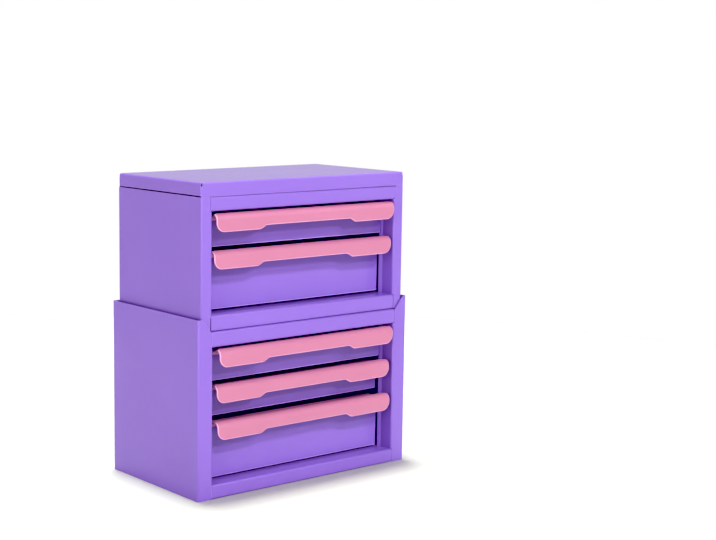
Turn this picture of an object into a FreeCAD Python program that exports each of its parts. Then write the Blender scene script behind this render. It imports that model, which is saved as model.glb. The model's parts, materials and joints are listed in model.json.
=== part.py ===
import FreeCAD, Part
import os
import Sketcher

from FreeCAD import Vector

# A small steel drawer set for a desk: a cabinet with three drawers, and a chest
# with two drawers and a hinged lid that stands in the rim on top of the cabinet.
# Millimetres. X points right, Y to the back and Z up. The origin is on the floor,
# under the middle of the whole box, from the foremost pull to the cabinet's back.

# Each row is a name, a size and what the size is.
SIZES = (
    ("sheet", 0.8, "thickness of the folded steel"),
    ("bend", 1.4, "outside radius of a fold"),
    ("seam", 0.2, "gap where two sheets meet edge to edge"),
    ("cabinet_width", 200.0, "cabinet, over both sides"),
    ("cabinet_depth", 112.0, "cabinet, front frame to back"),
    ("cabinet_stile", 13.0, "width of the cabinet's front uprights"),
    ("base_rail", 10.4, "cabinet's lowest front rail"),
    ("deck_rail", 11.3, "rail between the cabinet's drawers and its deck"),
    ("rim", 9.5, "how far the cabinet's walls stand above its deck"),
    ("ear_flat", 3.7, "flat top of the upright's ear"),
    ("chest_width", 192.6, "chest, over both sides"),
    ("chest_depth", 107.6, "chest, front frame to back"),
    ("chest_setback", 1.5, "chest's front behind the cabinet's front"),
    ("chest_stile", 9.5, "width of the chest's front uprights"),
    ("chest_rail", 11.4, "chest's lowest front rail"),
    ("tray_rail", 10.4, "chest's rail under the lid"),
    ("rail_lap", 1.2, "how far a rail's ends run past the opening"),
    ("rail_return", 9.0, "depth of the fold behind a rail's free edge"),
    ("frame_return", 12.0, "depth of the fold behind an upright's edge"),
    ("guide_length", 3.0, "slanted end of that fold, which guides the drawer"),
    ("guide_bend", 1.4, "how far the guide leans inwards"),
    ("back_flange", 9.0, "flange that holds the back panel"),
    ("side_flange", 8.0, "flange that joins a floor panel to the walls"),
    ("tray_flange", 3.5, "upstand of the top tray"),
    ("shallow_front", 25.3, "height of a shallow drawer's front with its pull"),
    ("tall_front", 44.2, "height of a tall drawer's front with its pull"),
    ("cabinet_gap", 1.52, "gap above and below the cabinet's drawers"),
    ("chest_gap", 1.67, "gap above and below the chest's drawers"),
    ("cabinet_front_width", 166.6, "width of the cabinet's drawer fronts"),
    ("chest_front_width", 169.2, "width of the chest's drawer fronts"),
    ("front_return", 6.0, "depth of the folded edges of a drawer front"),
    ("front_round", 1.6, "outside radius of a drawer front's edges"),
    ("shut_depth", 15.2, "a shut drawer's front behind the frame"),
    ("drawer_1_out", 2.9, "drawer 1 stands this far out, as photographed"),
    ("drawer_2_out", 0.0, "drawer 2 is shut"),
    ("drawer_3_out", 4.0, "drawer 3 stands this far out"),
    ("drawer_4_out", 0.3, "drawer 4 stands this far out"),
    ("drawer_5_out", 1.6, "drawer 5 stands this far out"),
    ("tray_sheet", 0.7, "thickness of a drawer's tray"),
    ("tray_lift", 1.6, "underside of a tray above its front's edge"),
    ("shallow_tray", 9.0, "how much lower a shallow tray is than its front with its pull"),
    ("tall_tray", 9.0, "how much lower a tall tray is than its front with its pull"),
    ("tray_corner", 2.5, "outside radius of a tray's corners"),
    ("tray_inset", 1.0, "a tray's wall inside the end of its front"),
    ("rear_gap", 1.0, "shut tray to back panel"),
    ("stop_back", 60.0, "a tray's stops behind its front"),
    ("stop_length", 5.0, "length of a stop"),
    ("stop_height", 9.0, "height of a stop"),
    ("stop_reach", 1.0, "how far a stop catches behind the guide"),
    ("runner_overlap", 7.0, "runner under the edge of a tray"),
    ("runner_wall", 9.0, "height of a runner's welded wall"),
    ("runner_start", 23.5, "front end of a runner behind the frame"),
    ("pull_reach", 15.2, "pull in front of the drawer's face"),
    ("pull_sheet", 1.6, "thickness of a pull"),
    ("pull_round", 5.0, "outside radius of a pull's crest"),
    ("pull_fall", 20.0, "degrees by which a pull's top falls towards the face"),
    ("pull_end", 13.2, "height of a pull's two ends"),
    ("pull_middle", 10.4, "height of a pull's middle"),
    ("pull_end_width", 39.4, "width of each deep end at its lower edge"),
    ("pull_slope", 5.1, "length of the step from end to middle"),
    ("pull_corner", 7.0, "radius of a pull's lower corners"),
    ("relief_start", 4.2, "start of the relief at a pull's ends, behind its nose"),
    ("relief_width", 3.0, "width of that relief in the pull's top"),
    ("pull_rib", 1.2, "how far the pull's rib reaches down the face"),
    ("pull_rib_sheet", 0.8, "thickness of that rib"),
    ("hook_play", 0.1, "play between the pull's hook and the front's fold"),
    ("hook_sheet", 1.2, "thickness of that hook"),
    ("hook_drop", 1.4, "how far the hook reaches down behind the fold"),
    ("lid_height", 10.3, "height of the lid"),
    ("lid_gap", 0.1, "lid's front above the chest"),
    ("lid_side_gap", 0.8, "extra gap under the lid's sides"),
    ("notch", 0.9, "radius of the relief at a lid corner"),
    ("hinge_length", 24.0, "length of a hinge"),
    ("hinge_place", 60.0, "hinge's middle from the lid's middle"),
    ("hinge_offset", 1.6, "hinge axis behind the panels"),
    ("leaf_height", 8.0, "edge of a leaf from the hinge axis"),
    ("knuckle", 1.5, "outside radius of a knuckle"),
    ("pin_radius", 0.75, "radius of a hinge pin"),
    ("pin_play", 0.05, "radial play of the lid's knuckle on the pin"),
    ("stop_fin", 3.6, "outer edge of a hinge's stop from the axis"),
    ("stop_fin_sheet", 0.6, "thickness of that stop"),
    ("stop_fin_angle", 60.0, "degrees between a stop and the level"),
    ("stop_fin_root", 0.2, "how far a stop's root is sunk in its knuckle"),
)

# How far a cut runs past the metal that it opens.
OVER = 1

document = FreeCAD.newDocument("drawer_set")
sheet = document.addObject("Spreadsheet::Sheet", "sizes")
parts = []


def fill_sheet():
    """Write the driving sizes into the document's sheet."""
    for row, (name, size, meaning) in enumerate(SIZES, start=1):
        sheet.set(f"A{row}", name)
        sheet.set(f"B{row}", str(size))
        sheet.set(f"C{row}", meaning)
        sheet.setAlias(f"B{row}", name)
    document.recompute()


def value(expression):
    """The present number of an expression on the sheet."""
    return float(sheet.evalExpression(str(expression)))


class Box:
    """The driving expressions of one of the two steel boxes, in its own frame."""

    def __init__(self, name, stile, low, opening, high, rim, gap, ear):
        self.name = name
        self.width = f"sizes.{name}_width"
        self.depth = f"sizes.{name}_depth"
        self.half = f"({self.width} / 2)"
        self.edge = f"({self.half} - {stile})"
        self.lip = f"({self.edge} - sizes.guide_bend)"
        self.rail_end = f"({self.edge} + sizes.rail_lap)"
        self.low = low
        self.opening = opening
        self.opening_top = f"({low} + {opening})"
        self.level = f"({low} + {opening} + {high})"
        self.height = f"({self.level} + {rim})"
        self.inside = f"({self.half} - sizes.sheet)"
        self.panel = f"({self.half} - sizes.bend - sizes.seam)"
        self.back = f"({self.depth} - 2 * sizes.sheet)"
        self.gap = gap
        self.ear = ear
        self.front_width = f"sizes.{name}_front_width"


CABINET = Box(
    "cabinet", "sizes.cabinet_stile", "sizes.base_rail",
    "(sizes.tall_front + 2 * sizes.shallow_front + 4 * sizes.cabinet_gap)",
    "sizes.deck_rail", "sizes.rim", "sizes.cabinet_gap", True,
)
CHEST = Box(
    "chest", "sizes.chest_stile", "sizes.chest_rail",
    "(sizes.tall_front + sizes.shallow_front + 3 * sizes.chest_gap)",
    "sizes.tray_rail", "0", "sizes.chest_gap", False,
)

# The cabinet's front plane is half of the whole depth in front of the origin.
CABINET_FRONT = "(-(sizes.cabinet_depth - sizes.drawer_3_out) / 2)"
CHEST_FRONT = f"({CABINET_FRONT} + sizes.chest_setback)"
CHEST_FLOOR = CABINET.level
LID_FLOOR = f"({CHEST_FLOOR} + {CHEST.level} + sizes.lid_gap)"

# Which way a sketch on each of a body's own planes faces along the third axis.
FACING = {"XY": 1, "XZ": -1, "YZ": 1}


def new_body(label):
    """A new sub-part, made by features."""
    body = document.addObject("PartDesign::Body", label)
    body.Label = label
    parts.append(body)
    return body


def place(item, x, y, z):
    """Put a sub-part at its place in the box."""
    for axis, expression in (("x", x), ("y", y), ("z", z)):
        item.setExpression(f"Placement.Base.{axis}", str(expression))


def new_sketch(body, plane, offset):
    """A sketch on one of the body's own planes, moved along that plane's normal."""
    sketch = body.newObject("Sketcher::SketchObject", "sketch")
    origin = [item for item in body.Origin.OriginFeatures if item.Role == f"{plane}_Plane"]
    sketch.AttachmentSupport = [(origin[0], "")]
    sketch.MapMode = "FlatFace"
    sketch.setExpression("AttachmentOffset.Base.z", offset)
    return sketch


def bind(sketch, kind, where, expression):
    """Add one dimension to a sketch and bind it to the sheet."""
    index = sketch.addConstraint(Sketcher.Constraint(kind, *where, value(expression)))
    sketch.setExpression(f"Constraints[{index}]", str(expression))


def draw_outline(sketch, corners):
    """Draw a closed outline whose corners are pairs of expressions."""
    spots = [Vector(value(x), value(y), 0) for x, y in corners]
    count = len(spots)
    for index in range(count):
        line = Part.LineSegment(spots[index], spots[(index + 1) % count])
        sketch.addGeometry(line, False)
    for index in range(count):
        sketch.addConstraint(Sketcher.Constraint("Coincident", index, 2, (index + 1) % count, 1))
    for index, (x, y) in enumerate(corners):
        bind(sketch, "DistanceX", (-1, 1, index, 1), x)
        bind(sketch, "DistanceY", (-1, 1, index, 1), y)


def draw_circles(sketch, centres, radius):
    """Draw circles at pairs of expressions."""
    for index, (x, y) in enumerate(centres):
        centre = Vector(value(x), value(y), 0)
        sketch.addGeometry(Part.Circle(centre, Vector(0, 0, 1), value(radius)), False)
        bind(sketch, "DistanceX", (-1, 1, index, 3), x)
        bind(sketch, "DistanceY", (-1, 1, index, 3), y)
        bind(sketch, "Radius", (index,), radius)


def extrude(body, kind, sketch, low, high):
    """Pad or pocket a sketch, and make sure that it changed the body."""
    before = body.Tip.Shape.Volume if body.Tip else 0.0
    feature = body.newObject(f"PartDesign::{kind}", kind.lower())
    feature.Profile = sketch
    feature.setExpression("Length", f"{high} - ({low})")
    document.recompute()
    change = feature.Shape.Volume - before
    wanted = 1 if kind == "Pad" else -1
    if change * wanted <= 0:
        raise RuntimeError(f"{body.Label}: the {kind} changed nothing")


def offset_of(plane, kind, low, high):
    """Where the sketch lies, so that its pad or pocket runs from low to high."""
    facing = FACING[plane]
    start_low = (facing == 1) == (kind == "Pad")
    start = low if start_low else high
    return str(start) if facing == 1 else f"-({start})"


def add(body, plane, corners, low, high):
    """Add a prism with this outline, from low to high along the third axis."""
    sketch = new_sketch(body, plane, offset_of(plane, "Pad", low, high))
    draw_outline(sketch, corners)
    extrude(body, "Pad", sketch, low, high)


def cut(body, plane, corners, low, high):
    """Cut a prism with this outline, from low to high along the third axis."""
    sketch = new_sketch(body, plane, offset_of(plane, "Pocket", low, high))
    draw_outline(sketch, corners)
    extrude(body, "Pocket", sketch, low, high)


def add_discs(body, plane, centres, radius, low, high):
    """Add round bars, from low to high along the third axis."""
    sketch = new_sketch(body, plane, offset_of(plane, "Pad", low, high))
    draw_circles(sketch, centres, radius)
    extrude(body, "Pad", sketch, low, high)


def drill(body, plane, centres, radius, low, high):
    """Cut round holes, from low to high along the third axis."""
    sketch = new_sketch(body, plane, offset_of(plane, "Pocket", low, high))
    draw_circles(sketch, centres, radius)
    extrude(body, "Pocket", sketch, low, high)


def oblong(x_low, x_high, y_low, y_high):
    """The corners of a rectangle."""
    return [(x_low, y_low), (x_high, y_low), (x_high, y_high), (x_low, y_high)]


def edges_along(shape, axis, spots):
    """Names of the edges along an axis that pass through these places."""
    others = [index for index in range(3) if index != "XYZ".index(axis)]
    names = []
    for number, edge in enumerate(shape.Edges, start=1):
        ends = [vertex.Point for vertex in edge.Vertexes]
        if len(ends) != 2:
            continue
        for spot in spots:
            gaps = [abs(end[other] - place) for end in ends for other, place in zip(others, spot)]
            if max(gaps) < 0.001:
                names.append(f"Edge{number}")
    return names


def fillet(body, axis, spots, radius):
    """Round the edges along an axis that pass through these pairs of expressions."""
    places = [tuple(value(number) for number in spot) for spot in spots]
    names = edges_along(body.Tip.Shape, axis, places)
    if len(names) < len(spots):
        raise RuntimeError(f"{body.Label}: an edge to round is missing")
    base = body.Tip
    feature = body.newObject("PartDesign::Fillet", "fillet")
    feature.Base = (base, names)
    feature.setExpression("Radius", radius)
    document.recompute()


def side_panel(label, hand, box, y, z):
    """A wall, its front upright and its back flange, folded from one sheet.

    The upright's inner edge folds back and ends in a slanted drawer guide.
    """
    body = new_body(label)
    t = "sizes.sheet"
    fold = "sizes.frame_return"
    tip = "(sizes.frame_return + sizes.guide_length)"
    plan = [
        (f"{box.half} - sizes.back_flange", box.depth),
        (box.half, box.depth),
        (box.half, "0"),
        (box.edge, "0"),
        (box.edge, fold),
        (box.lip, tip),
        (f"{box.lip} + {t}", tip),
        (f"{box.edge} + {t}", fold),
        (f"{box.edge} + {t}", t),
        (box.inside, t),
        (box.inside, f"{box.depth} - {t}"),
        (f"{box.half} - sizes.back_flange", f"{box.depth} - {t}"),
    ]
    corners = [(f"{hand} * ({x})", depth) for x, depth in plan]
    add(body, "XY", corners, "0", box.height)
    outer = [corners[1], corners[2], corners[3]]
    inner = [corners[8], corners[9], corners[10]]
    fillet(body, "Z", outer, "sizes.bend")
    fillet(body, "Z", inner, f"sizes.bend - {t}")

    clear_in = f"{hand} * ({box.lip} - {OVER})"
    rail_out = f"{hand} * ({box.rail_end} + sizes.seam)"
    past = f"{tip} + {OVER}"
    cut(body, "XZ", oblong(clear_in, rail_out, f"-{OVER}", box.low), f"-{OVER}", past)
    above = box.level if box.ear else f"{box.level} + {OVER}"
    cut(body, "XZ", oblong(clear_in, rail_out, box.opening_top, above), f"-{OVER}", past)
    if box.ear:
        ear = [
            (clear_in, box.level),
            (rail_out, box.level),
            (f"{hand} * ({box.half} - sizes.ear_flat)", box.height),
            (clear_in, box.height),
        ]
        cut(body, "XZ", ear, f"-{OVER}", past)
    place(body, "0", y, z)


def floor_panel(label, box, bottom, top, y, z):
    """A level panel with a rail folded down in front and flanges on the other sides.

    The rail's lower edge folds back again.
    """
    body = new_body(label)
    t = "sizes.sheet"
    section = [
        ("0", bottom),
        ("0", top),
        (box.back, top),
        (box.back, f"{top} - sizes.side_flange"),
        (f"{box.back} - {t}", f"{top} - sizes.side_flange"),
        (f"{box.back} - {t}", f"{top} - {t}"),
        (t, f"{top} - {t}"),
        (t, f"{bottom} + {t}"),
        ("sizes.rail_return", f"{bottom} + {t}"),
        ("sizes.rail_return", bottom),
    ]
    half = box.inside
    add(body, "YZ", section, f"-{half}", half)
    outer = [section[0], section[1], section[2]]
    inner = [section[5], section[6], section[7]]
    fillet(body, "X", outer, "sizes.bend")
    fillet(body, "X", inner, f"sizes.bend - {t}")

    behind = f"sizes.rail_return + {OVER}"
    for hand in (-1, 1):
        start = f"{hand} * {box.rail_end}"
        end = f"{hand} * ({half} + {OVER})"
        slot = oblong(start, end, f"-{OVER}", "sizes.bend + sizes.seam")
        cut(body, "XY", slot, f"{bottom} - {OVER}", f"{top} + {OVER}")
        under = oblong(start, end, "0", behind)
        cut(body, "XY", under, f"{bottom} - {OVER}", f"{top} - {t}")
        wall_in = f"{hand} * ({half} - {t})"
        wall_out = f"{hand} * {half}"
        clear = f"sizes.frame_return + sizes.guide_length + {OVER}"
        flange = oblong(wall_in, wall_out, clear, f"{box.back} - sizes.bend - sizes.seam")
        add(body, "XY", flange, f"{top} - sizes.side_flange", f"{top} - {t}")
    place(body, "0", y, z)


def top_tray(label, box, y, z):
    """The shallow tray under the lid, whose front edge is folded up as a rail."""
    body = new_body(label)
    t = "sizes.sheet"
    floor = box.opening_top
    section = [
        (box.back, f"{floor} + sizes.tray_flange"),
        (box.back, floor),
        ("0", floor),
        ("0", box.level),
        ("sizes.rail_return", box.level),
        ("sizes.rail_return", f"{box.level} - {t}"),
        (t, f"{box.level} - {t}"),
        (t, f"{floor} + {t}"),
        (f"{box.back} - {t}", f"{floor} + {t}"),
        (f"{box.back} - {t}", f"{floor} + sizes.tray_flange"),
    ]
    half = box.inside
    add(body, "YZ", section, f"-{half}", half)
    fillet(body, "X", [section[1], section[2], section[3]], "sizes.bend")
    fillet(body, "X", [section[6], section[7], section[8]], f"sizes.bend - {t}")
    behind = f"sizes.rail_return + {OVER}"
    for hand in (-1, 1):
        start = f"{hand} * {box.rail_end}"
        end = f"{hand} * ({half} + {OVER})"
        slot = oblong(start, end, f"-{OVER}", "sizes.bend + sizes.seam")
        cut(body, "XY", slot, f"{floor} - {OVER}", f"{box.level} + {OVER}")
        above = oblong(start, end, "0", behind)
        cut(body, "XY", above, f"{floor} + {t}", f"{box.level} + {OVER}")
        wall_in = f"{hand} * ({half} - {t})"
        wall_out = f"{hand} * {half}"
        flange = oblong(wall_in, wall_out, "sizes.rail_return", f"{box.back} - {t}")
        add(body, "XY", flange, floor, f"{floor} + sizes.tray_flange")
    place(body, "0", y, z)


def back_panel(label, box, y, z):
    """The flat back, held inside the walls' back flanges."""
    body = new_body(label)
    corners = oblong(f"-{box.panel}", box.panel, "0", box.height)
    add(body, "XZ", corners, box.back, f"{box.depth} - sizes.sheet")
    place(body, "0", y, z)


def runner(label, hand, box, level, y, z):
    """An angle welded to the wall, whose ledge carries one edge of a drawer's tray."""
    body = new_body(label)
    t = "sizes.sheet"
    wall = box.inside
    ledge = f"({box.front_width} / 2 - sizes.tray_inset - sizes.runner_overlap)"
    section = [
        (wall, f"-{t}"),
        (wall, f"sizes.runner_wall - {t}"),
        (f"{wall} - {t}", f"sizes.runner_wall - {t}"),
        (f"{wall} - {t}", "0"),
        (ledge, "0"),
        (ledge, f"-{t}"),
    ]
    corners = [(f"{hand} * ({x})", height) for x, height in section]
    add(body, "XZ", corners, "sizes.runner_start", f"{box.back} - sizes.rear_gap")
    fillet(body, "Y", [corners[0]], "sizes.bend")
    fillet(body, "Y", [corners[3]], f"sizes.bend - {t}")
    place(body, "0", y, f"{z} + {level}")


# A pull's outer sides would meet above its rounded crest. Behind it the top falls to a seat.
FALL = "(sizes.pull_fall * 1 deg)"
CREST_RISE = f"(sizes.pull_round * (tan({FALL}) + 1 / cos({FALL}) - 1))"
SEAT_DROP = f"(sizes.pull_reach * tan({FALL}) - {CREST_RISE})"


class Drawer:
    """The driving expressions of one drawer, measured from its face's lower edge."""

    def __init__(self, number, box, height, tray, bottom, front, floor):
        self.name = f"drawer_{number}"
        self.box = box
        self.height = height
        self.seat_top = f"({height} - {SEAT_DROP})"
        self.front_top = f"({self.seat_top} - sizes.pull_sheet)"
        self.tray = tray
        self.half = f"({box.front_width} / 2)"
        self.tray_half = f"({self.half} - sizes.tray_inset)"
        self.tray_end = f"({box.back} - sizes.shut_depth - sizes.rear_gap)"
        self.bottom = bottom
        self.x = "0"
        self.y = f"{front} + sizes.shut_depth - sizes.drawer_{number}_out"
        self.z = f"{floor} + {bottom}"


def drawer_front(drawer):
    """The face with rounded upright edges, its four sides folded back."""
    body = new_body(f"{drawer.name}_front")
    t = "sizes.sheet"
    top = drawer.front_top
    face = oblong(f"-{drawer.half}", drawer.half, "0", top)
    add(body, "XZ", face, "0", "sizes.front_return")
    fillet(body, "Z", [(f"-{drawer.half}", "0"), (drawer.half, "0")], "sizes.front_round")
    hollow = oblong(f"-{drawer.half} + {t}", f"{drawer.half} - {t}", t, f"{top} - {t}")
    cut(body, "XZ", hollow, t, f"sizes.front_return + {OVER}")
    place(body, drawer.x, drawer.y, drawer.z)


def drawer_tray(drawer):
    """An open tray with a wall on every side and two stops bent out of its walls."""
    body = new_body(f"{drawer.name}_tray")
    t = "sizes.tray_sheet"
    front = "sizes.sheet"
    floor = "sizes.tray_lift"
    rim = f"({floor} + {drawer.tray})"
    half = drawer.tray_half
    end = drawer.tray_end
    outline = oblong(f"-{half}", half, front, end)
    add(body, "XY", outline, floor, rim)
    inside = oblong(f"-{half} + {t}", f"{half} - {t}", f"{front} + {t}", f"{end} - {t}")
    cut(body, "XY", inside, f"{floor} + {t}", f"{rim} + {OVER}")
    inner_spots = [(f"-{half} + {t}", f"{end} - {t}"), (f"{half} - {t}", f"{end} - {t}")]
    fillet(body, "Z", inner_spots, f"sizes.tray_corner - {t}")
    fillet(body, "Z", [(f"-{half}", end), (half, end)], "sizes.tray_corner")
    stop_end = "sizes.stop_back + sizes.stop_length"
    reach = f"({drawer.box.lip} + sizes.stop_reach)"
    for hand in (-1, 1):
        stop = [
            (f"{hand} * ({half} - {t})", "sizes.stop_back"),
            (f"{hand} * {reach}", "sizes.stop_back"),
            (f"{hand} * {reach}", f"sizes.stop_back + {t}"),
            (f"{hand} * {half}", stop_end),
            (f"{hand} * ({half} - {t})", stop_end),
        ]
        add(body, "XY", stop, f"{floor} + 2 * {t}", f"{floor} + 2 * {t} + sizes.stop_height")
    place(body, drawer.x, drawer.y, drawer.z)


def drawer_pull(drawer):
    """A full-width pull with a rounded crest and a stepped lip.

    Behind the crest its top is a little narrower. It is clipped over the front's upper fold, between a rib on the face and a hook behind.
    """
    body = new_body(f"{drawer.name}_pull")
    t = "sizes.pull_sheet"
    top = drawer.height
    nose = "-sizes.pull_reach"
    tip = f"{top} - sizes.pull_end"
    catch = "(sizes.front_return + sizes.hook_play)"
    hook_end = f"{catch} + sizes.hook_sheet"
    hook_tip = f"{drawer.front_top} - sizes.hook_drop"
    rib = "sizes.pull_rib_sheet"
    rib_tip = f"{drawer.front_top} - sizes.pull_rib"
    thick = f"({t} / cos({FALL}))"
    section = [
        (hook_end, drawer.seat_top),
        ("0", drawer.seat_top),
        (nose, f"{top} + {CREST_RISE}"),
        (nose, tip),
        (f"{nose} + {t}", tip),
        (f"{nose} + {t}", f"{top} + {CREST_RISE} - {t} * tan({FALL}) - {thick}"),
        (f"-{rib}", f"{drawer.seat_top} + {rib} * tan({FALL}) - {thick}"),
        (f"-{rib}", rib_tip),
        ("0", rib_tip),
        ("0", drawer.front_top),
        (catch, drawer.front_top),
        (catch, hook_tip),
        (hook_end, hook_tip),
    ]
    half = drawer.half
    add(body, "YZ", section, f"-{half}", half)
    fillet(body, "X", [section[2]], "sizes.pull_round")
    fillet(body, "X", [section[5]], f"sizes.pull_round - {t}")
    lip_corners = [(f"-{half}", tip), (half, tip)]
    step_low = f"({half} - sizes.pull_end_width)"
    step_high = f"({step_low} - sizes.pull_slope)"
    middle = f"{top} - sizes.pull_middle"
    below = f"{tip} - {OVER}"
    notch = [
        (f"-{step_low}", below),
        (f"-{step_low}", tip),
        (f"-{step_high}", middle),
        (step_high, middle),
        (step_low, tip),
        (step_low, below),
    ]
    cut(body, "XZ", notch, f"{nose} - {OVER}", f"{nose} + {t} + {OVER}")
    steps = [(f"-{step_low}", tip), (f"-{step_high}", middle), (step_high, middle), (step_low, tip)]
    fillet(body, "Y", lip_corners, "sizes.pull_corner")
    fillet(body, "Y", steps, "sizes.pull_slope / 2")
    for hand in (-1, 1):
        inner = f"{hand} * ({half} - sizes.relief_width)"
        outer = f"{hand} * ({half} + {OVER})"
        relief = oblong(inner, outer, f"{nose} + sizes.relief_start", f"{hook_end} + {OVER}")
        cut(body, "XY", relief, f"{tip} - {OVER}", f"{top} + {OVER}")
    place(body, drawer.x, drawer.y, drawer.z)


# The hinge axis lies level with the seam under the lid, behind the two panels.
CHEST_AXIS = f"({CHEST.level} + sizes.lid_gap / 2)"
AXIS_Y = "(sizes.chest_depth - sizes.sheet + sizes.hinge_offset)"


def lid():
    """A shallow pan turned over: four skirts folded down, open at the corners."""
    body = new_body("lid")
    t = "sizes.sheet"
    half = CHEST.half
    depth = f"({CHEST.depth} - {t})"
    top = "sizes.lid_height"
    add(body, "XY", oblong(f"-{half}", half, "0", depth), "0", top)
    fillet(body, "X", [("0", top), (depth, top)], "sizes.bend")
    fillet(body, "Y", [(f"-{half}", top), (half, top)], "sizes.bend")
    inside = oblong(f"-{half} + {t}", f"{half} - {t}", t, f"{depth} - {t}")
    cut(body, "XY", inside, f"-{OVER}", f"{top} - {t}")
    for hand in (-1, 1):
        outer = f"{hand} * ({half} + {OVER})"
        inner = f"{hand} * ({half} - {t} - {OVER})"
        short = oblong(inner, outer, t, f"{depth} - {t}")
        cut(body, "XY", short, f"-{OVER}", "sizes.lid_side_gap")
        for start, end in ((t, f"{t} + sizes.seam"), (f"{depth} - {t} - sizes.seam", f"{depth} - {t}")):
            cut(body, "XY", oblong(inner, outer, start, end), f"-{OVER}", f"{top} - sizes.bend")
        for near in (f"{t} / 2", f"{depth} - {t} / 2"):
            relief = [(f"{hand} * ({half} - {t} / 2)", near)]
            drill(body, "XY", relief, "sizes.notch", f"{top} - 2 * sizes.bend", f"{top} + {OVER}")
    place(body, "0", CHEST_FRONT, LID_FLOOR)


def fin(body, up, inner, low, high):
    """A hinge's stop: a fin that points away from the axis, above or below the level."""
    angle = "(sizes.stop_fin_angle * 1 deg)"
    across = "(sizes.stop_fin_sheet / 2)"
    corners = []
    for reach, side in ((inner, -1), ("sizes.stop_fin", -1), ("sizes.stop_fin", 1), (inner, 1)):
        y = f"{reach} * cos({angle}) - {side} * {across} * sin({angle})"
        z = f"{up} * ({reach} * sin({angle}) + {side} * {across} * cos({angle}))"
        corners.append((y, z))
    add(body, "YZ", corners, low, high)


def hinge_leaf(label, hand, up, spans, bore, z):
    """A leaf with its knuckles and its stop. The sub-part's origin is on the hinge axis."""
    body = new_body(label)
    length = "sizes.hinge_length"
    plate_back = "(sizes.sheet - sizes.hinge_offset)"
    plate_front = "(-sizes.hinge_offset)"
    neck = "(sizes.knuckle + sizes.seam)"
    plate = oblong(f"-{length} / 2", f"{length} / 2", f"{up} * {neck}", f"{up} * sizes.leaf_height")
    add(body, "XZ", plate, plate_front, plate_back)
    for low, high in spans:
        arm = oblong(low, high, "0", f"{up} * {neck}")
        add(body, "XZ", arm, plate_front, plate_back)
        add_discs(body, "YZ", [("0", "0")], "sizes.knuckle", low, high)
    fin(body, up, neck, f"-{length} / 2", f"{length} / 2")
    for low, high in spans:
        fin(body, up, "(sizes.knuckle - sizes.stop_fin_root)", low, high)
    drill(body, "YZ", [("0", "0")], bore, f"-{length} / 2 - {OVER}", f"{length} / 2 + {OVER}")
    place(body, f"{hand} * sizes.hinge_place", f"{CHEST_FRONT} + {AXIS_Y}", z)


def hinge(side, hand):
    """One stop hinge: a leaf on the chest, a leaf on the lid, and the pin."""
    length = "sizes.hinge_length"
    joint = f"({length} / 6)"
    middle = [(f"-{joint} + sizes.seam / 2", f"{joint} - sizes.seam / 2")]
    ends = [(f"-{length} / 2", f"-{joint} - sizes.seam / 2"), (f"{joint} + sizes.seam / 2", f"{length} / 2")]
    axis = f"{CHEST_FLOOR} + {CHEST_AXIS}"
    hinge_leaf(f"{side}_hinge_chest_leaf", hand, -1, ends, "sizes.pin_radius", axis)
    hinge_leaf(f"{side}_hinge_lid_leaf", hand, 1, middle, "sizes.pin_radius + sizes.pin_play", axis)
    pin = document.addObject("Part::Cylinder", f"{side}_hinge_pin")
    pin.Label = f"{side}_hinge_pin"
    pin.setExpression("Radius", "sizes.pin_radius")
    pin.setExpression("Height", length)
    pin.Placement.Rotation = FreeCAD.Rotation(Vector(0, 1, 0), 90)
    place(pin, f"{hand} * sizes.hinge_place - {length} / 2", f"{CHEST_FRONT} + {AXIS_Y}", axis)
    parts.append(pin)


def steel_boxes():
    """The walls, floors, backs and runners of the cabinet and the chest."""
    for box, y, z in ((CABINET, CABINET_FRONT, "0"), (CHEST, CHEST_FRONT, CHEST_FLOOR)):
        side_panel(f"{box.name}_left_side", -1, box, y, z)
        side_panel(f"{box.name}_right_side", 1, box, y, z)
        floor_panel(f"{box.name}_base", box, "0", box.low, y, z)
        back_panel(f"{box.name}_back", box, y, z)
    floor_panel("cabinet_deck", CABINET, CABINET.opening_top, CABINET.level, CABINET_FRONT, "0")
    top_tray("chest_top_tray", CHEST, CHEST_FRONT, CHEST_FLOOR)


def make_drawers():
    """Every drawer from the top down, each with its two runners."""
    chest = (CHEST, CHEST_FRONT, CHEST_FLOOR)
    cabinet = (CABINET, CABINET_FRONT, "0")
    plans = (
        (1, chest, "shallow", "sizes.tall_front", 2),
        (2, chest, "tall", "0", 1),
        (3, cabinet, "shallow", "sizes.tall_front + sizes.shallow_front", 3),
        (4, cabinet, "shallow", "sizes.tall_front", 2),
        (5, cabinet, "tall", "0", 1),
    )
    for number, (box, front, floor), kind, below, gaps in plans:
        bottom = f"({box.low} + {gaps} * {box.gap} + {below})"
        height = f"sizes.{kind}_front"
        tray = f"({height} - sizes.{kind}_tray)"
        drawer = Drawer(number, box, height, tray, bottom, front, floor)
        drawer_front(drawer)
        drawer_tray(drawer)
        drawer_pull(drawer)
        for side, hand in (("left", -1), ("right", 1)):
            level = f"({bottom} + sizes.tray_lift)"
            runner(f"drawer_{number}_{side}_runner", hand, box, level, front, floor)


def check_and_write():
    """Stop at anything that failed, then write one file for each sub-part."""
    document.recompute()
    for item in document.Objects:
        if "Invalid" in item.State or "Error" in item.State:
            raise RuntimeError(f"{item.Label} failed: {item.State}")
    os.makedirs("parts", exist_ok=True)
    for item in parts:
        if item.Shape.isNull() or not item.Shape.isValid():
            raise RuntimeError(f"{item.Label} has no valid shape")
        item.Shape.exportStep(f"parts/{item.Label}.step")
        box = item.Shape.BoundBox
        print(f"{item.Label}: {len(item.Shape.Solids)} solids, {item.Shape.Volume:.1f} mm3, "
              f"x {box.XMin:.2f} {box.XMax:.2f} y {box.YMin:.2f} {box.YMax:.2f} "
              f"z {box.ZMin:.2f} {box.ZMax:.2f}")


fill_sheet()
steel_boxes()
make_drawers()
lid()
hinge("left", -1)
hinge("right", 1)
check_and_write()
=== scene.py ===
import json
import math

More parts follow.
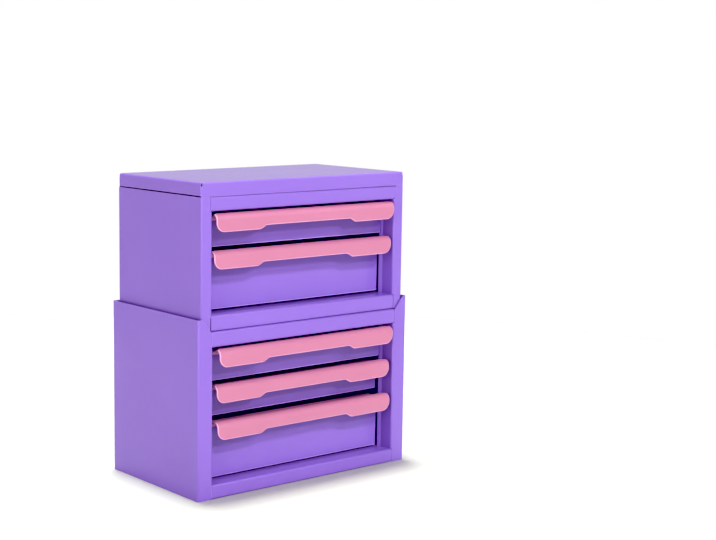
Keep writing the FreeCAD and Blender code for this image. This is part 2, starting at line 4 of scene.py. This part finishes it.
import bmesh
import bpy
from mathutils import Euler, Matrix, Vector


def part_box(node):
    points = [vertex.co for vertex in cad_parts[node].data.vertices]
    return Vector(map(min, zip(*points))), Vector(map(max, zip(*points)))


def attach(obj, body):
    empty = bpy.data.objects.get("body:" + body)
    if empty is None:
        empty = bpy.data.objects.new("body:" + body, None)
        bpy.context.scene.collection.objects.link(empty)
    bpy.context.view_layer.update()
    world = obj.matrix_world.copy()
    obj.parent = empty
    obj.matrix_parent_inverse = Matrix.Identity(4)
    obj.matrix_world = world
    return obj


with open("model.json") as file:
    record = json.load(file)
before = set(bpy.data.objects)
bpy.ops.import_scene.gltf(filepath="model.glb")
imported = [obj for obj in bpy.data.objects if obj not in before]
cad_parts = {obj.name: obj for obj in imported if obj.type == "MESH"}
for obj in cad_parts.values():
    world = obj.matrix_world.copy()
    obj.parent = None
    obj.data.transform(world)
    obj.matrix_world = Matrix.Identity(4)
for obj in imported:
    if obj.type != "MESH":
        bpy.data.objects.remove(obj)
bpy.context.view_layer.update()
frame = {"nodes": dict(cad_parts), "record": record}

# The photograph's viewing angle: the camera's place, its turn in degrees and its framing.
CAMERA_AT = (-0.7048, -0.90355, 0.31486)
CAMERA_TURN = (82.011, -0.388, -37.696)
CAMERA_LENS = 75.524
CAMERA_SENSOR = 36.0
CAMERA_SHIFT = 0.13966
CAMERA_NEAR = 0.01
CAMERA_FAR = 100

# Colours as the eye reads them, 0 to 255: the dark and light ends of each finish's drift of tone.
VIOLET = ((124, 94, 181), (127, 97, 184))
# Lighter violet of the softened edges: a painted highlight where the rounded edges catch the light.
VIOLET_EDGE_HIGHLIGHT = ((152, 122, 206), (156, 126, 210))
# Brighter violet of the drawer fronts' edges: a painted highlight along their rounded edges.
VIOLET_FRONT_HIGHLIGHT = ((192, 168, 236), (196, 172, 240))
# Dark violet of the painted shade in the seam between the chest and the rim.
VIOLET_SHADE = (30, 14, 78)
PINK = ((175, 107, 134), (178, 110, 137))
# Lighter pink of the pulls' softened edges: a painted highlight on their rounded edges.
PINK_EDGE_HIGHLIGHT = ((213, 152, 190), (217, 156, 194))
ZINC_GREY = ((168, 170, 176), (208, 210, 214))

# How strongly the violet paint mirrors beneath its clear coat.
PAINT_GLOSS = 0.2

# Widths of the softened edges of each slot, in metres, and the wider ones of fronts and rails.
EDGE = {"violet_steel": 0.00016, "pink_pull": 0.0006, "plated_steel": 0.0001}
FRONT_EDGE = 0.0006
RAIL_EDGE = 0.00037
RAILS = ("chest_base", "cabinet_base", "cabinet_deck")

# How edges are softened: what counts as one corner, one flat face and a sharp edge.
SAME_CORNER = 1e-6
SAME_FACE = math.radians(0.2)
SHARP = math.radians(35)
EDGE_STEPS = 2
# The tray's folds are so tight that its softened edges have to stop at each other.
CROWDED = "chest_top_tray"

# Painted shade in the seam where the chest stands in the rim, on these nodes' edges, and how far it
# reaches past its two edges.
SEAM_SHADE_NODES = ("chest_base", "cabinet_deck", "cabinet_right_side")
SEAM_SHADE_REACH = 0.0006
SEAM_SHADE_STARTS = 0.0005
SEAM_SHADE_ENDS = 0.999

# A hinge rivet's head: radius and rise of each ring, in metres, and its place on a leaf.
RIVET_RINGS = ((0.0016, 0), (0.0016, 0.0002), (0.0014, 0.0006), (0.001, 0.0009), (0.0005, 0.00105))
RIVET_SIDES = 24
RIVET_SPREAD = 0.007
RIVET_DROP = 0.0052
LEAF_BACK = 0.0551

# The floor is a little warm, so that its shadows stay grey beside the violet walls.
FLOOR_RADIUS = 0.7
FLOOR_SIDES = 96
FLOOR_TONE = (0.82, 0.84, 0.765, 1)
BACKDROP_RADIUS = 5.0
BLACK = (0, 0, 0, 1)
WHITE = (1, 1, 1, 1)

# The surround is white up to a little above the horizon, and dimmer higher up.
HORIZON_WHITE = 0.04
HORIZON_DIM = 0.05
SKY = (0.5, 0.5, 0.5, 1)

# Each light's place, size and power in watts, and its tint.
LIGHTS = {
    "key": ((0, -1.887, 1.75), 0.25, 37, (1, 1, 1)),
    "low_key": ((0, -2.218, 1.264), 0.25, 25, (1, 1, 1)),
    "front_fill": ((-1.2, -2.2, 0.3), 1.5, 9, (1, 1, 1)),
    "left_fill": ((-2.42, -0.62, 0.5), 1.5, 30, (1, 0.91, 0.96)),
    "top_fill": ((0.03, 0.24, 3), 0.4, 84, (1, 1, 1)),
}
LIGHTS_AIM = (0, 0, 0.11)
# These lights pass the floor by, so that it shows only the soft shadow of the others.
KEYS = ("key", "low_key")

# The photograph's deepened blacks: what is taken off red, green and blue.
BLACK_LEVEL = (0.02, 0.03, 0.0)


def srgb(colour):
    """A colour as the eye reads it, 0 to 255, as the linear colour that a shader takes."""
    def linear(level):
        share = level / 255
        return share / 12.92 if share <= 0.04045 else ((share + 0.055) / 1.055) ** 2.4
    return (*(linear(level) for level in colour), 1.0)


class Nodes:
    """A short way to build a material's node tree."""

    def __init__(self, name):
        self.material = bpy.data.materials.new(name)
        self.material.use_nodes = True
        self.tree = self.material.node_tree
        self.shader = self.tree.nodes["Principled BSDF"]
        self.place = self.add("ShaderNodeTexCoord").outputs["Object"]

    def add(self, kind, **settings):
        node = self.tree.nodes.new(kind)
        for key, setting in settings.items():
            setattr(node, key, setting)
        return node

    def link(self, output, node, socket):
        self.tree.links.new(output, node.inputs[socket])

    def feed(self, output, socket):
        """Drive one of the shader's sockets."""
        self.link(output, self.shader, socket)

    def fix(self, socket, setting):
        """Set one of the shader's sockets to a constant."""
        self.shader.inputs[socket].default_value = setting

    def noise(self, scale, detail=2.0, rough=0.5):
        node = self.add("ShaderNodeTexNoise")
        node.inputs["Scale"].default_value = scale
        node.inputs["Detail"].default_value = detail
        node.inputs["Roughness"].default_value = rough
        self.link(self.place, node, "Vector")
        return node.outputs["Fac"]

    def ramp(self, factor, low, high, tones):
        """A colour that drifts between two tones as the factor goes from low to high."""
        node = self.add("ShaderNodeValToRGB")
        for stop, position, tone in zip(node.color_ramp.elements, (low, high), tones):
            stop.position = position
            stop.color = srgb(tone)
        self.link(factor, node, "Fac")
        return node.outputs["Color"]

    def span(self, factor, low, high):
        """The factor's 0 to 1 spread from low to high."""
        node = self.add("ShaderNodeMapRange")
        node.inputs["To Min"].default_value = low
        node.inputs["To Max"].default_value = high
        self.link(factor, node, "Value")
        return node.outputs["Result"]

    def bump(self, height, strength, distance, before=None):
        """Relief in the surface, over another relief where there is one."""
        node = self.add("ShaderNodeBump")
        node.inputs["Strength"].default_value = strength
        node.inputs["Distance"].default_value = distance
        self.link(height, node, "Height")
        if before is not None:
            self.link(before, node, "Normal")
        return node.outputs["Normal"]


def violet_paint(name, tones):
    """Satin powder coat on steel: a fine orange peel and a slight drift of tone."""
    paint = Nodes(name)
    drift = paint.noise(scale=14, detail=3)
    paint.feed(paint.ramp(drift, low=0.3, high=0.7, tones=tones), "Base Color")
    paint.feed(paint.span(paint.noise(scale=60), low=0.36, high=0.46), "Roughness")
    peel = paint.bump(paint.noise(scale=1300, rough=0.6), strength=0.12, distance=0.0002)
    waves = paint.bump(paint.noise(scale=260), strength=0.06, distance=0.0006, before=peel)
    paint.feed(waves, "Normal")
    paint.fix("Specular IOR Level", PAINT_GLOSS)
    paint.fix("Coat Weight", 0.85)
    paint.fix("Coat Roughness", 0.1)
    paint.fix("Coat IOR", 1.27)
    return paint.material


def seam_shade_paint(name, edge, shade):
    """The edges' lighter violet of painted highlight, turned to a dark painted shade between the
    deck's top and the rim's top.
    """
    paint = Nodes(name)
    split = paint.add("ShaderNodeSeparateXYZ")
    paint.link(paint.place, split, "Vector")
    level = paint.add("ShaderNodeMapRange", clamp=False)
    level.inputs["From Min"].default_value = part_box("cabinet_deck")[1][2] - SEAM_SHADE_REACH
    level.inputs["From Max"].default_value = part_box("cabinet_left_side")[1][2] + SEAM_SHADE_REACH
    paint.link(split.outputs["Z"], level, "Value")
    band = paint.add("ShaderNodeValToRGB")
    band.color_ramp.interpolation = "CONSTANT"
    below, above = band.color_ramp.elements
    below.color = srgb(edge)
    above.color = srgb(edge)
    above.position = SEAM_SHADE_ENDS
    band.color_ramp.elements.new(SEAM_SHADE_STARTS).color = srgb(shade)
    paint.link(level.outputs["Result"], band, "Fac")
    paint.feed(band.outputs["Color"], "Base Color")
    paint.feed(paint.span(paint.noise(scale=60), low=0.4, high=0.5), "Roughness")
    paint.fix("Specular IOR Level", PAINT_GLOSS)
    return paint.material


def pink_plastic(name, tones):
    """Satin moulded plastic with a faint grain."""
    plastic = Nodes(name)
    drift = plastic.noise(scale=22, detail=3)
    plastic.feed(plastic.ramp(drift, low=0.3, high=0.7, tones=tones), "Base Color")
    plastic.feed(plastic.span(plastic.noise(scale=80), low=0.34, high=0.44), "Roughness")
    grain = plastic.bump(plastic.noise(scale=1600, rough=0.6), strength=0.08, distance=0.00015)
    plastic.feed(grain, "Normal")
    return plastic.material


def zinc_plate(name, tones):
    """Bright zinc plate with a drawn grain."""
    zinc = Nodes(name)
    zinc.fix("Metallic", 1.0)
    drift = zinc.noise(scale=120, detail=4)
    zinc.feed(zinc.ramp(drift, low=0.3, high=0.75, tones=tones), "Base Color")
    zinc.feed(zinc.span(zinc.noise(scale=300, detail=3), low=0.24, high=0.42), "Roughness")
    grain = zinc.bump(zinc.noise(scale=900, detail=3), strength=0.1, distance=0.0001)
    zinc.feed(grain, "Normal")
    return zinc.material


ZINC = zinc_plate("zinc_plate", ZINC_GREY)
# Each slot's finish, and the one of its softened edges, which on paint and plastic is lighter: a
# painted highlight on the rounded edges.
FINISHES = {
    "violet_steel": (
        violet_paint("violet_powder_coat", VIOLET),
        violet_paint("violet_edge_highlight", VIOLET_EDGE_HIGHLIGHT),
    ),
    "pink_pull": (pink_plastic("pink_pull", PINK), pink_plastic("pink_edge_highlight", PINK_EDGE_HIGHLIGHT)),
    "plated_steel": (ZINC, ZINC),
}
SEAM_SHADE = seam_shade_paint("violet_seam_shade", VIOLET_EDGE_HIGHLIGHT[0], VIOLET_SHADE)
FRONT_HIGHLIGHT = violet_paint("violet_bright_edge", VIOLET_FRONT_HIGHLIGHT)


def edge_look(name, slot):
    """The width and the finish of a node's softened edges: a painted highlight, brighter on the drawer
    fronts, with painted shade in the seam.
    """
    width = EDGE[slot]
    finish = FINISHES[slot][1]
    if name in RAILS:
        width = RAIL_EDGE
    # In the seam these nodes' edges carry painted shade.
    if name in SEAM_SHADE_NODES:
        finish = SEAM_SHADE
    # The drawer fronts' edges get the brighter painted highlight.
    if name.endswith("_front"):
        return FRONT_EDGE, FRONT_HIGHLIGHT
    return width, finish


def soften(node, width):
    """Round the sharp edges, and give them the second of the node's finishes, a lighter painted
    highlight on paint and plastic.

    The mesh comes with split corners and cut-up flat faces, which are joined first.
    """
    weld = node.modifiers.new("weld", "WELD")
    weld.merge_threshold = SAME_CORNER
    flat = node.modifiers.new("flat", "DECIMATE")
    flat.decimate_type = "DISSOLVE"
    flat.angle_limit = SAME_FACE
    bevel = node.modifiers.new("edge", "BEVEL")
    bevel.width = width
    bevel.segments = EDGE_STEPS
    bevel.limit_method = "ANGLE"
    bevel.angle_limit = SHARP
    bevel.use_clamp_overlap = node.name == CROWDED
    bevel.material = 1
    if node.name.endswith("_pull") or node.name == "lid":
        even = node.modifiers.new("even", "WEIGHTED_NORMAL")
        even.keep_sharp = False
    else:
        bevel.harden_normals = True


def dress_nodes():
    """Give every CAD node its finishes and softened edges."""
    for row in frame["record"]["subparts"]:
        name = row["node"]
        slot = row["material_slot"]
        width, finish = edge_look(name, slot)
        node = frame["nodes"][name]
        node.data.materials.clear()
        node.data.materials.append(FINISHES[slot][0])
        node.data.materials.append(finish)
        soften(node, width)


def rivet_head(mesh, x, y, z):
    """A closed dome on the plane y, pointing backwards."""
    turns = [math.tau * step / RIVET_SIDES for step in range(RIVET_SIDES)]
    rings = []
    for radius, rise in RIVET_RINGS:
        rings.append([
            mesh.verts.new((x + radius * math.cos(turn), y + rise, z + radius * math.sin(turn)))
            for turn in turns
        ])
    for low, high in zip(rings, rings[1:]):
        for step in range(RIVET_SIDES):
            after = (step + 1) % RIVET_SIDES
            mesh.faces.new((low[step], low[after], high[after], high[step]))
    mesh.faces.new(rings[0])
    mesh.faces.new(rings[-1])


def leaf_rivets(side, leaf, body, way):
    """The two rivets that hold one hinge leaf; way is up (1) or down (-1) from the hinge's axis."""
    low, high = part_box(f"{side}_hinge_pin")
    axis = (low[2] + high[2]) / 2
    middle = (low[0] + high[0]) / 2
    heads = bmesh.new()
    for hand in (-1, 1):
        rivet_head(heads, middle + hand * RIVET_SPREAD, LEAF_BACK, axis + way * RIVET_DROP)
    bmesh.ops.recalc_face_normals(heads, faces=heads.faces)
    for face in heads.faces:
        face.smooth = len(face.verts) == 4
    item = new_item(f"{side}_{leaf}_rivets", heads, ZINC)
    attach(item, body)


def rivets():
    """Every hinge leaf's rivets."""
    for side in ("left", "right"):
        leaf_rivets(side, "chest_leaf", "chest", -1)
        leaf_rivets(side, "lid_leaf", "lid", 1)


def new_item(name, shape, finish):
    """An object of this shape and finish in the scene."""
    mesh = bpy.data.meshes.new(name)
    shape.to_mesh(mesh)
    shape.free()
    mesh.materials.append(finish)
    item = bpy.data.objects.new(name, mesh)
    bpy.context.scene.collection.objects.link(item)
    return item


def camera():
    """The camera at the photograph's viewing angle."""
    data = bpy.data.cameras.new("camera")
    data.sensor_width = CAMERA_SENSOR
    data.lens = CAMERA_LENS
    data.shift_x = CAMERA_SHIFT
    data.clip_start = CAMERA_NEAR
    data.clip_end = CAMERA_FAR
    item = bpy.data.objects.new("camera", data)
    item.location = CAMERA_AT
    item.rotation_euler = Euler([math.radians(turn) for turn in CAMERA_TURN])
    bpy.context.scene.collection.objects.link(item)
    bpy.context.scene.camera = item


def surround():
    """The light from all round: white along the horizon, dimmer above."""
    world = bpy.data.worlds.new("surround")
    bpy.context.scene.world = world
    world.use_nodes = True
    tree = world.node_tree
    direction = tree.nodes.new("ShaderNodeTexCoord").outputs["Generated"]
    split = tree.nodes.new("ShaderNodeSeparateXYZ")
    level = tree.nodes.new("ShaderNodeValToRGB")
    horizon, above = level.color_ramp.elements
    horizon.position = HORIZON_WHITE
    horizon.color = WHITE
    above.position = HORIZON_DIM
    above.color = SKY
    tree.links.new(direction, split.inputs["Vector"])
    tree.links.new(split.outputs["Z"], level.inputs["Fac"])
    tree.links.new(level.outputs["Color"], tree.nodes["Background"].inputs["Color"])


def backdrop():
    """A plain white backdrop all round, which the camera sees and the light doesn't."""
    white = Nodes("backdrop_white")
    white.fix("Base Color", BLACK)
    white.fix("Specular IOR Level", 0.0)
    white.fix("Emission Color", WHITE)
    white.fix("Emission Strength", 1.0)
    ball = bmesh.new()
    bmesh.ops.create_icosphere(ball, subdivisions=3, radius=BACKDROP_RADIUS)
    item = new_item("backdrop", ball, white.material)
    item.visible_diffuse = False
    item.visible_glossy = False
    item.visible_transmission = False
    item.visible_shadow = False


def floor():
    """A plain pale floor: a disc that ends in the white backdrop."""
    pale = Nodes("pale_floor")
    pale.fix("Base Color", FLOOR_TONE)
    pale.fix("Roughness", 1.0)
    pale.fix("Specular IOR Level", 0.0)
    disc = bmesh.new()
    bmesh.ops.create_circle(disc, cap_ends=True, segments=FLOOR_SIDES, radius=FLOOR_RADIUS)
    item = new_item("floor", disc, pale.material)
    return item


def area_light(name, at, size, power, tint):
    """A square soft light that faces the part, and that the camera doesn't see."""
    data = bpy.data.lights.new(name, "AREA")
    data.shape = "SQUARE"
    data.size = size
    data.energy = power
    data.color = tint
    item = bpy.data.objects.new(name, data)
    item.location = at
    item.rotation_euler = (Vector(LIGHTS_AIM) - Vector(at)).to_track_quat("-Z", "Y").to_euler()
    item.visible_camera = False
    bpy.context.scene.collection.objects.link(item)
    return item


def keep_off_floor(light, pale_floor):
    """Let a light reach everything but the floor, so that it casts no shadow there."""
    spared = bpy.data.collections.new("spared_by_" + light.name)
    spared.objects.link(pale_floor)
    spared.collection_objects[0].light_linking.link_state = "EXCLUDE"
    light.light_linking.receiver_collection = spared


def lights(pale_floor):
    """Plain soft studio light: two keys above the front, and fills in front, at the left and above."""
    for name, (at, size, power, tint) in LIGHTS.items():
        light = area_light(name, at, size, power, tint)
        if name in KEYS:
            keep_off_floor(light, pale_floor)


def display():
    """Plain display tones, with the photograph's slightly deepened blacks."""
    view = bpy.context.scene.view_settings
    view.view_transform = "Standard"
    view.use_curve_mapping = True
    view.curve_mapping.black_level = BLACK_LEVEL
    view.curve_mapping.update()


dress_nodes()
rivets()
camera()
surround()
backdrop()
lights(floor())
display()
